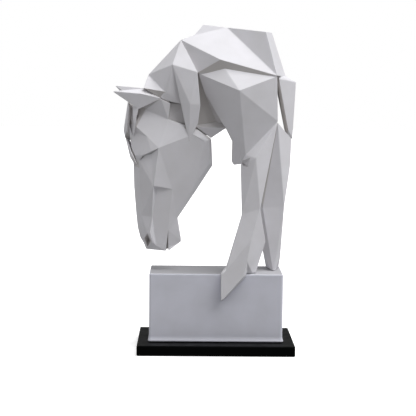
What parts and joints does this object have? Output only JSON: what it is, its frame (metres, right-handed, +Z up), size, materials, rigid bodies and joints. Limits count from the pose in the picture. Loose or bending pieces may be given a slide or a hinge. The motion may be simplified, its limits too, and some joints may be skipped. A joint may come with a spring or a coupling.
{
  "type": "geometric horse sculpture",
  "caption": "Faceted horse sculpture with its head bowed and a foreleg striding, in white resin on a rectangular plinth with a thin black base plate.",
  "frame": {"origin": "middle of the base plate's underside", "axes": "+Z up; X along the plinth, with the horse facing -X; -Y towards the horse's left side, which the picture shows"},
  "size_m": [0.0984, 0.05, 0.175],
  "materials": {
    "white_resin": "matte white cast resin with softly rounded edges between flat facets",
    "plinth_resin": "matte white cast resin",
    "black_satin": "satin black"
  },
  "bodies": {
    "root": {"horse": "white_resin", "plinth": "plinth_resin", "base_plate": "black_satin"}
  },
  "joints": []
}
